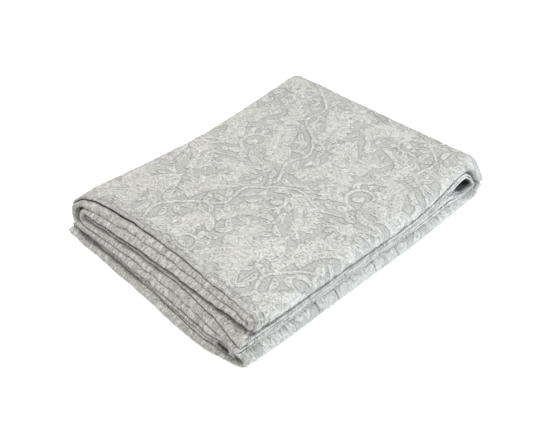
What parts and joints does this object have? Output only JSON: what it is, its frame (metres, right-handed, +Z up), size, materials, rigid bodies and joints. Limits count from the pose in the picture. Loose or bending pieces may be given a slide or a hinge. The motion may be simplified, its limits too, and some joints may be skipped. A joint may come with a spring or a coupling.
{
  "type": "folded woven throw blanket",
  "caption": "Woven cotton throw with a raised leaf pattern, folded in four along its length and in five across, lying flat.",
  "frame": {"origin": "centre of the underside of the bounding box, on the surface the blanket lies on", "axes": "+X from the open end with the hems to the folded end, +Y from the front side with the hollow to the side of the widest turn, +Z up"},
  "size_m": [0.4194, 0.3188, 0.0578],
  "materials": {
    "washed_cotton": "pale warm grey washed cotton, matt, with a raised woven pattern"
  },
  "bodies": {
    "root": {"folded_blanket": "washed_cotton"}
  },
  "joints": []
}
